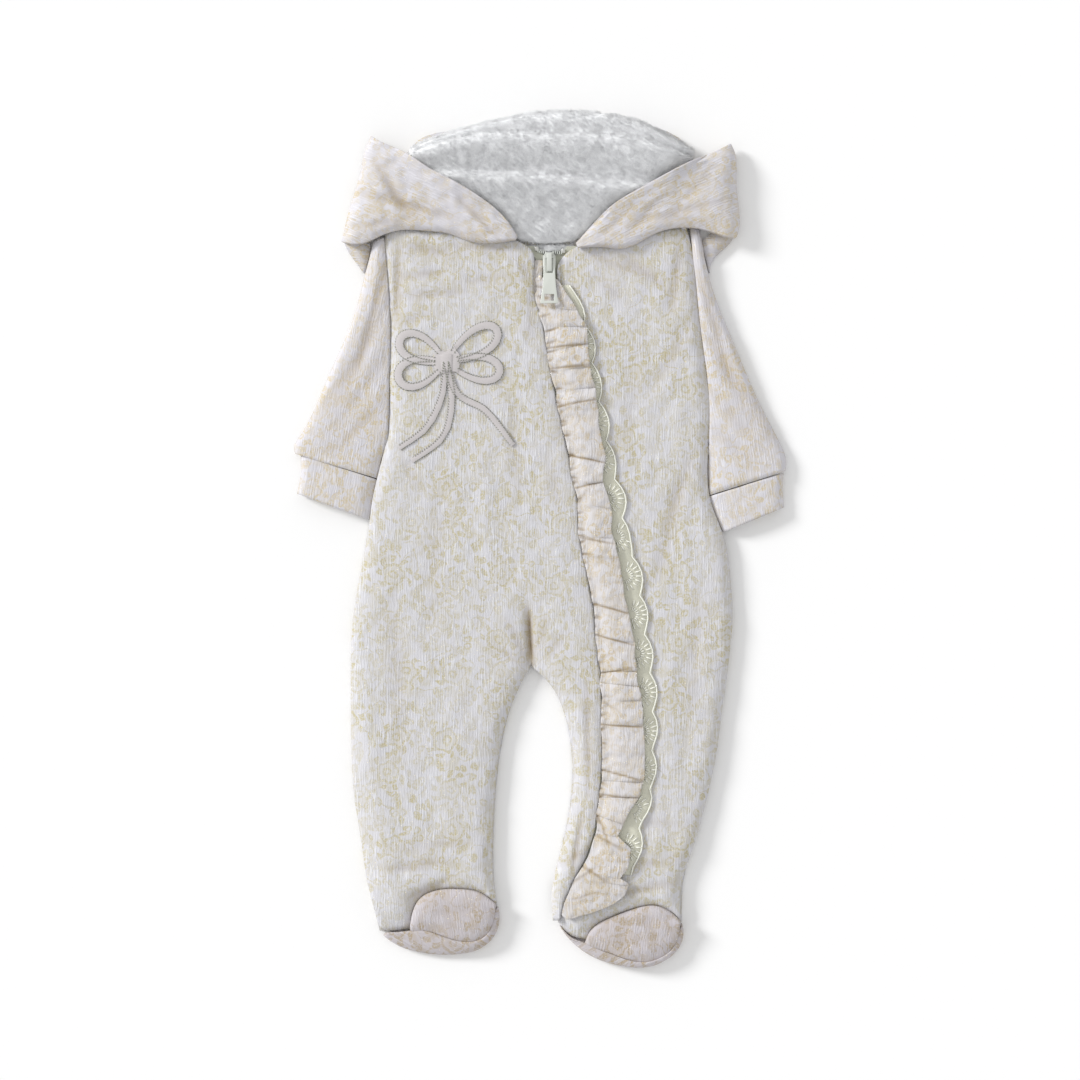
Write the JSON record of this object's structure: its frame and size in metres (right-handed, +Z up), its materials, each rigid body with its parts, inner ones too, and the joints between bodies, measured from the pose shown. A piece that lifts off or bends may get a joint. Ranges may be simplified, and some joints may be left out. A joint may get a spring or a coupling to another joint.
{
  "type": "footed baby sleepsuit",
  "caption": "Hooded, footed baby sleepsuit laid flat on its back: plush-lined jacquard cloth, frilled front zip with a swinging pull tab, lace edge, bow, cuffs and booties.",
  "frame": {"origin": "middle of the garment's outline, on the surface it lies on", "axes": "+X to the wearer's left, +Y towards the hood, +Z up off the surface"},
  "size_m": [0.3468, 0.6026, 0.0225],
  "materials": {
    "jacquard_cloth": "off-white ribbed jacquard with a pale gold floral weave, matt with a faint glitter",
    "cuff_cloth": "off-white ribbed jacquard band, matt",
    "plush_lining": "white short-pile plush",
    "zip_tape": "cream woven tape",
    "zip_enamel": "cream enamel, satin",
    "zip_stop_metal": "bright",
    "organza_lace": "cream embroidered organza, slightly shiny",
    "satin_ribbon": "grey-lilac satin with a stitched edge"
  },
  "bodies": {
    "garment": {"front_right": "jacquard_cloth", "front_left": "jacquard_cloth", "back": "jacquard_cloth", "sleeve_right": "jacquard_cloth", "sleeve_left": "jacquard_cloth", "cuff_right": "cuff_cloth", "cuff_left": "cuff_cloth", "sole_right": "jacquard_cloth", "sole_left": "jacquard_cloth", "foot_top_right": "jacquard_cloth", "foot_top_left": "jacquard_cloth", "hood_back": "jacquard_cloth", "hood_lining": "plush_lining", "neck_lining": "plush_lining", "hood_side_right": "jacquard_cloth", "hood_side_left": "jacquard_cloth", "zip_tape_right": "zip_tape", "zip_tape_left": "zip_tape", "zip_chain": "zip_enamel", "zip_slider": "zip_enamel", "zip_stop_right": "zip_stop_metal", "zip_stop_left": "zip_stop_metal", "lace": "organza_lace", "ruffle": "jacquard_cloth", "bow_applique": "satin_ribbon"},
    "pull_tab": {"zip_pull_tab": "zip_enamel"}
  },
  "joints": [
    {"name": "pull_tab_swing", "type": "hinge", "parent": "garment", "child": "pull_tab", "pos_m": [0.0065, 0.19765, 0.0112], "axis": [-1, 0, 0], "range_deg": [0, 155]}
  ]
}
